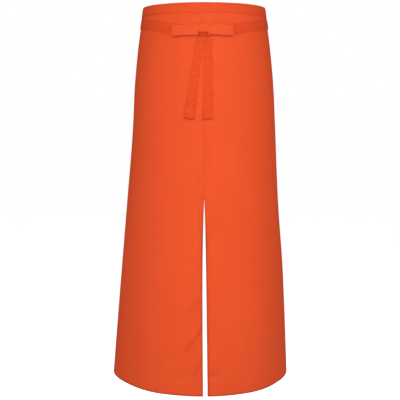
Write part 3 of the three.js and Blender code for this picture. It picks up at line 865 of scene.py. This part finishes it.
# Folds across each tail: where, how much each slants, its height, and which part of the width it spans.
TAIL_FOLDS = {
    "left": [
        (0.925, 0.6, 3.4 * MM, 0.05, 1.05), (0.71, 0.5, 2.0 * MM, 0.8, 0.5), (0.55, 0.4, 1.6 * MM, 0.8, 0.4),
        (0.35, 0.3, 1.6 * MM, 0.8, 0.4), (0.62, -0.5, 0.7 * MM, 0, 0.8), (0.8, 0.4, 0.8 * MM, -0.3, 0.7),
    ],
    "right": [
        (0.83, -0.1, 2.4 * MM, 0.1, 1.4), (0.66, 0.5, 1.2 * MM, -0.2, 0.7), (0.5, 0.5, 0.7 * MM, 0.3, 0.8),
        (0.3, 0.4, 0.7 * MM, 0.2, 0.8), (0.73, -0.5, 0.8 * MM, 0.2, 0.6),
    ],
}  # fmt: skip


def tail_folds(word, share, u):
    """Soft folds across a tail: each stands out above its line and drops sharply below it."""
    total = 0
    for at, slope, height, middle, reach in TAIL_FOLDS[word]:
        along = (share - at) * TAIL_LENGTH / TIE_WIDTH + slope * u / 2
        fold = np.where(along < 0, bell(along, 0.3), bell(along, 0.09))
        total = total + height * fold * np.exp(-(((u - middle) / reach) ** 4))
    return total


def along_tail(word, share, u, out):
    """The place at a share of a tail's length, a share of its half width and out from its inner face."""
    share, u, out = np.broadcast_arrays(*(np.asarray(v, float) for v in (share, u, out)))
    shares, twists, lifts = np.array(TAIL_TWIST[word]).T
    ways, middles, widths = np.array(TAIL_PATH[word]).T
    twist = np.radians(smooth(shares, twists, share))
    across = u * smooth(ways, widths, share) * TIE_WIDTH / 2
    up = TAIL_TOP - share * TAIL_LENGTH + across * TAIL_SLANT[word] * share
    lift = smooth(shares, lifts, share) * MM + np.abs(np.sin(twist)) * TIE_WIDTH / 2
    lift = lift + tail_folds(word, share, u)
    x = smooth(ways, middles, share) * MM + across * np.cos(twist) - out * np.sin(twist)
    return near_front(x, up, OVER_PANEL - 0.2 * MM + lift + across * np.sin(twist) + out * np.cos(twist))


def tail(word):
    """A strip that hangs from the knot, a little crumpled, with a thicker hem and painted shadow at its end.
    """
    u = TIE_SECTION[:, 0]
    shares = np.linspace(0, 1, 150)
    sections = []
    uv = []
    for share in shares:
        pleat = 0.7 * MM * math.exp(-share / 0.06) * np.cos(u * 3 * math.pi)
        curl = 0.2 * MM * np.sin(u * 3 + share * 40) + 0.18 * MM * np.sin(share * 97 - u * 2)
        hem = 0.4 * MM * (share > 1 - TAIL_HEM / TAIL_LENGTH)
        end = min(1.0, (1 - share) * TAIL_LENGTH / (1.0 * MM))
        thick = (TIE_THICKNESS * 0.5 + hem) * (0.35 + 0.65 * math.sqrt(end))
        sections.append(along_tail(word, share, u, TIE_SECTION[:, 1] * thick + pleat + curl))
        uv.append(cloth_uv(share * TAIL_LENGTH + 0.4, u * TIE_WIDTH / 2 + 1.1))
    piece = tube(f"{word}_tail_piece", sections, uv, tie_cloth)
    # Painted shadow: the last few mm of the tail are darker, as under its lifted end.
    to_end = np.repeat((1 - shares) * TAIL_LENGTH, len(u))
    paint(piece, -0.8 * bell(to_end, 2.2 * MM))
    return piece


loops = {word: bow_loop(word) for word in SIDES}
knot_piece = knot()
tails = {word: tail(word) for word in SIDES}

# ------------------------ label


def care_label():
    """A blank tape label, sewn in under the band and curling a little off the cloth."""
    near, far = LABEL_MIDDLE - LABEL_WIDTH / 2, LABEL_MIDDLE + LABEL_WIDTH / 2
    distance, down = np.meshgrid(np.linspace(near, far, 9), np.linspace(LABEL_HEIGHT, -LABEL_TUCK, 14))
    up = BAND_BOTTOM - down
    curl = (down / LABEL_HEIGHT) ** 2
    sideways = ((distance - LABEL_MIDDLE) / (LABEL_WIDTH / 2)) ** 2
    out = -1.6 * MM - 5 * MM * curl - 2 * MM * curl * sideways
    turn = turn_at(LEFT, distance, up)
    outer = on_cloth(turn, up, out)
    inner = on_cloth(turn, up, out - 0.3 * MM)
    return closed_sheet("care_label_piece", outer, inner, cloth_uv(distance, up), label_tape)


label = care_label()

# ------------------------ stitches


def stitch_mesh():
    """One stitch: a bead of thread, long in X, low in Z and tucked in at both ends."""
    rings = [(-0.5, 0.15), (-0.32, 0.85), (0.0, 1.0), (0.32, 0.85), (0.5, 0.15)]
    around = 6
    points = []
    for along, swell in rings:
        for k in range(around):
            a = 2 * math.pi * k / around
            points.append((along, 0.5 * swell * math.cos(a), 0.5 * swell * math.sin(a) + 0.3 * swell - 0.3))
    piece = new_object("one_stitch", points, tube_faces(len(rings), around))
    outwards(piece)
    return piece


one_stitch = stitch_mesh()
one_stitch.hide_render = True
one_stitch.hide_viewport = True

STITCH_INPUTS = {
    "Seam": ("NodeSocketGeometry", None),
    "Stitch": ("NodeSocketObject", None),
    "Pitch": ("NodeSocketFloat", STITCH_PITCH),
    "Stitch length": ("NodeSocketFloat", STITCH_LENGTH),
    "Thread width": ("NodeSocketFloat", STITCH_WIDTH),
    "Seed": ("NodeSocketInt", STITCH_SEED),
}


def stitch_tree(material):
    """Lays a stitch at each step along a seam, with its length along the line and its back to the cloth."""
    tree = bpy.data.node_groups.new("sewing", "GeometryNodeTree")
    for name, (kind, value) in STITCH_INPUTS.items():
        socket = tree.interface.new_socket(name, in_out="INPUT", socket_type=kind)
        if value is not None:
            socket.default_value = value
    tree.interface.new_socket("Stitches", in_out="OUTPUT", socket_type="NodeSocketGeometry")
    n = Nodes(tree)
    given = n.add("NodeGroupInput").outputs
    curve = n.add("GeometryNodeMeshToCurve", {0: given["Seam"]}).outputs[0]
    even = n.add("GeometryNodeResampleCurve", {"Curve": curve, "Length": given["Pitch"]}, mode="LENGTH")
    stitch = n.add("GeometryNodeObjectInfo", {"Object": given["Stitch"]}).outputs["Geometry"]
    tangent = n.add("GeometryNodeInputTangent").outputs[0]
    along = n.add("FunctionNodeAlignRotationToVector", {"Vector": tangent}, axis="X").outputs[0]
    named = n.add("GeometryNodeInputNamedAttribute", {"Name": "outward"}, data_type="FLOAT_VECTOR")
    facing = n.add(
        "FunctionNodeAlignRotationToVector",
        {"Rotation": along, "Vector": named.outputs["Attribute"]},
        axis="Z",
        pivot_axis="X",
    )
    vary = n.add("FunctionNodeRandomValue", {2: 0.9, 3: 1.08, "Seed": given["Seed"]}, data_type="FLOAT")
    length = n.math("MULTIPLY", vary.outputs[1], given["Stitch length"])
    size = n.add("ShaderNodeCombineXYZ", {0: length, 1: given["Thread width"], 2: given["Thread width"]})
    laid = {"Points": even.outputs[0], "Instance": stitch, "Rotation": facing.outputs[0]}
    placed = n.add("GeometryNodeInstanceOnPoints", laid | {"Scale": size.outputs[0]})
    solid = n.add("GeometryNodeRealizeInstances", {0: placed.outputs[0]}).outputs[0]
    threaded = n.add("GeometryNodeSetMaterial", {"Geometry": solid, "Material": material}).outputs[0]
    n.add("NodeGroupOutput", {0: threaded})
    return tree


sewing = stitch_tree(thread)


def sew(name, lines):
    """One piece of stitches along lines of (points, outward directions)."""
    points, edges, normals = [], [], []
    for line, outward in lines:
        first = len(points)
        points += [tuple(p) for p in line]
        normals += [tuple(n) for n in outward]
        edges += [(first + i, first + i + 1) for i in range(len(line) - 1)]
    mesh = bpy.data.meshes.new(f"{name}_line")
    mesh.from_pydata(points, edges, [])
    layer = mesh.attributes.new("outward", "FLOAT_VECTOR", "POINT")
    layer.data.foreach_set("vector", np.array(normals, np.float32).ravel())
    seam = add_object(f"{name}_line", mesh)
    modifier = seam.modifiers.new("sewing", "NODES")
    modifier.node_group = sewing
    sockets = {s.name: s.identifier for s in sewing.interface.items_tree if s.in_out == "INPUT"}
    modifier[sockets["Stitch"]] = one_stitch
    for key, (_, value) in STITCH_INPUTS.items():
        if value is not None:
            modifier[sockets[key]] = value
    graph = bpy.context.evaluated_depsgraph_get()
    result = bpy.data.meshes.new_from_object(seam.evaluated_get(graph))
    bpy.data.objects.remove(seam)
    result.name = name
    result.polygons.foreach_set("use_smooth", [True] * len(result.polygons))
    return add_object(name, result)


def seam_line(place, points):
    """A line laid by place(*point, out) and the outward directions along it."""
    low = np.array([place(*p, 0.0) for p in points])
    high = np.array([place(*p, 1 * MM) for p in points])
    outward = (high - low) / MM
    return low, outward / np.linalg.norm(outward, axis=1)[:, None]


def cloth_place(side, face):
    """Places a point at a distance from the centre edge of a panel, on its outer face or its inner one."""

    def place(distance, up, out):
        turn = turn_at(side, distance + half_gap(side, np.asarray(up)), up)
        return on_cloth(turn, up, (CLOTH - SUNK_IN + out) if face > 0 else (HEM_BACK + 0.1 * MM - out))

    return place


def panel_stitches(word):
    """The rows down the slit and the back edge and along the hem, on both faces."""
    side = SIDES[word]
    lines = []
    hem_up = HEM + BOTTOM_HEM - STITCH_INSET
    inset = EDGE_HEM - STITCH_INSET
    ups = steps(hem_up, (BAND_BOTTOM - 1 * MM, 6 * MM))
    slit_ups = ups[ups <= SLIT_TOP]
    distances = steps(inset, (HALF_WIDTH - inset, 6 * MM))
    for face in (1, -1):
        place = cloth_place(side, face)
        lines.append(seam_line(place, [(inset, up) for up in slit_ups]))
        lines.append(seam_line(place, [(HALF_WIDTH - inset, up) for up in ups]))
        lines.append(seam_line(place, [(d, hem_up) for d in distances]))
    return sew(f"{word}_panel_stitches", lines)


def band_place(face):
    """Places a point along the band, on its outer face or its inner one."""

    def place(distance, up, out):
        side = LEFT if distance >= 0 else RIGHT
        turn = turn_at(side, abs(distance), up)
        return on_cloth(turn, up, (BAND_FACE - SUNK_IN + out) if face > 0 else (BAND_BACK + 0.1 * MM - out))

    return place


def band_stitches(name, up):
    """A row along the band at one height, on both faces."""
    points = [(s, up) for s in steps(-HALF_WIDTH + 2 * MM, (HALF_WIDTH - 2 * MM, 5 * MM))]
    return sew(name, [seam_line(band_place(face), points) for face in (1, -1)])


def box_stitches(word):
    """The stitched square with a cross that holds a tie inside the end of the band."""
    half = BAND_HEIGHT / 2 - 4 * MM
    middle = SIDES[word] * (HALF_WIDTH - TIE_LAP / 2)
    corners = [(middle - half, -half), (middle + half, -half), (middle + half, half), (middle - half, half)]
    paths = [corners + corners[:1], [corners[0], corners[2]], [corners[1], corners[3]]]
    lines = []
    for path in paths:
        for a, b in zip(path, path[1:]):
            points = np.linspace(a, b, 6).tolist()
            lines.append(seam_line(band_place(1), points))
    return sew(f"{word}_box_stitches", lines)


def tie_stitches(word):
    """The rows beside both edges of a tie, from the band's end to where the tie gathers."""

    def place(turn, across, out):
        return along_tie(word, np.float64(turn), np.float64(across), TIE_THICKNESS * 0.85 + out)

    turns = np.linspace(BAND_END[word] + 0.02, tie_stations(word)[0][-1] - KNOTWARD, 160)
    lines = []
    for across in (STITCH_INSET - TIE_WIDTH / 2, TIE_WIDTH / 2 - STITCH_INSET):
        lines.append(seam_line(place, [(turn, across) for turn in turns]))
    return sew(f"{word}_tie_stitches", lines)


def tail_stitches(word):
    """The rows beside both edges of a tail and across its hem."""

    def place(share, u, out):
        return along_tail(word, share, u, TIE_THICKNESS * 0.42 + out)

    lines = []
    inset = 1 - STITCH_INSET * 2 / TIE_WIDTH
    end = 1 - 2 * STITCH_INSET / TAIL_LENGTH
    for edge in (-inset, inset):
        lines.append(seam_line(place, [(share, edge) for share in np.linspace(0.2, end, 60)]))
    lines.append(seam_line(place, [(end, u) for u in np.linspace(-inset, inset, 8)]))
    return sew(f"{word}_tail_stitches", lines)


def bartack():
    """Close rows of stitches over the top of the slit."""

    def place(across, up, out):
        return near_front(across, up, CLOTH + 0.2 * MM + out)

    rows = np.arange(SLIT_TOP + 0.6 * MM, SLIT_TOP + 3.2 * MM, 0.5 * MM)
    half = BARTACK_WIDTH / 2
    lines = [seam_line(place, [(across, up) for across in np.linspace(-half, half, 5)]) for up in rows]
    return sew("slit_bartack_piece", lines)


def centre_seam():
    """The seam's inner row of stitches, beside the pressed-back allowances."""

    def place(across, up, out):
        return near_front(across, up, HEM_BACK - out)

    points = [(0.0, up) for up in steps(SLIT_TOP, (BAND_BOTTOM - 1 * MM, 6 * MM))]
    return sew("centre_seam_piece", [seam_line(place, points)])


seam_pieces = {
    "panel": {word: panel_stitches(word) for word in SIDES},
    "box": {word: box_stitches(word) for word in SIDES},
    "tie": {word: tie_stitches(word) for word in SIDES},
    "tail": {word: tail_stitches(word) for word in SIDES},
}
band_low = band_stitches("waistband_lower_stitches", BAND_BOTTOM + STITCH_INSET)
band_high = band_stitches("waistband_upper_stitches", BAND_TOP - STITCH_INSET)
tack = bartack()
seam = centre_seam()
bpy.data.objects.remove(one_stitch)

# ------------------------ what each piece stands for, and what all but the panels and their stitches move with


def settle(piece, body, slot, *nodes):
    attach(piece, body)
    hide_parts(*nodes)


for word in SIDES:
    sheet = panels[word]
    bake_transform(sheet)
    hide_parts(f"{word}_panel_upper", f"{word}_panel_bend", f"{word}_panel_lower")
    stitches = seam_pieces["panel"][word]
    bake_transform(stitches)
    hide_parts(f"{word}_leg_hem_stitch", f"{word}_back_edge_stitch")
    settle(ties[word], "waist", "tie_cloth", f"{word}_tie")
    settle(seam_pieces["tie"][word], "waist", "thread", f"{word}_tie_edge_stitch")
    settle(seam_pieces["box"][word], "waist", "thread", f"{word}_tie_box_stitch")
    settle(loops[word], f"{word}_loop", "tie_cloth", f"{word}_bow_loop")
    settle(tails[word], f"{word}_tail", "tie_cloth", f"{word}_tail")
    settle(seam_pieces["tail"][word], f"{word}_tail", "thread", f"{word}_tail_end_stitch")

settle(band, "waist", "band_cloth", "waistband", "waistband_interlining")
settle(band_low, "waist", "thread", "waistband_seam_stitch")
settle(band_high, "waist", "thread", "waistband_top_stitch")
settle(knot_piece, "waist", "tie_cloth", "knot")
settle(tack, "waist", "thread", "slit_bartack")
settle(seam, "waist", "thread", "centre_seam_stitch")
settle(label, "waist", "label_tape", "care_label")

# ------------------------ studio


def area_light(name, place, target, size, power, angle):
    light = bpy.data.lights.new(name, "AREA")
    light.shape = "RECTANGLE"
    light.size, light.size_y = size
    light.energy = power
    light.spread = math.radians(angle)
    lamp = add_object(name, light)
    lamp.location = place
    lamp.rotation_euler = (Vector(target) - Vector(place)).to_track_quat("-Z", "Y").to_euler()


def studio():
    for lamp in LAMPS:
        area_light(*lamp)
    world = bpy.data.worlds.new("studio_white")
    world.use_nodes = True
    n = Nodes(world.node_tree)
    ray = n.add("ShaderNodeLightPath").outputs["Is Camera Ray"]
    lit = n.add("ShaderNodeBackground", {"Color": (1, 1, 1, 1), "Strength": AMBIENT})
    seen = n.add("ShaderNodeBackground", {"Color": (1, 1, 1, 1), "Strength": 1.0})
    shown = n.add("ShaderNodeMixShader", {0: ray, 1: lit.outputs[0], 2: seen.outputs[0]})
    n.add("ShaderNodeOutputWorld", {"Surface": shown.outputs[0]})
    bpy.context.scene.world = world
    floor_paint = bpy.data.materials.new("pale_floor")
    floor_paint.use_nodes = True
    n = Nodes(floor_paint.node_tree)
    glow = n.math("MULTIPLY", n.add("ShaderNodeLightPath").outputs["Is Camera Ray"], FLOOR_GLOW)
    grey, white = (0.8, 0.8, 0.8, 1), (1, 1, 1, 1)
    n.finish({"Base Color": grey, "Roughness": 0.9, "Emission Color": white, "Emission Strength": glow})
    size, low = FLOOR_SIZE, HEM - FLOOR_DROP
    corners = [(-size, -size, low), (size, -size, low), (size, size, low), (-size, size, low)]
    floor = new_object("floor", corners, [(0, 1, 2, 3)], material=floor_paint)


def camera():
    data = bpy.data.cameras.new("camera")
    data.lens = CAMERA_LENS
    data.sensor_width = 36
    body = add_object("camera", data)
    body.location = CAMERA_PLACE
    body.rotation_euler = (math.radians(90 - CAMERA_DOWN), 0, 0)
    bpy.context.scene.camera = body


studio()
camera()
bpy.context.scene.view_settings.view_transform = "Standard"
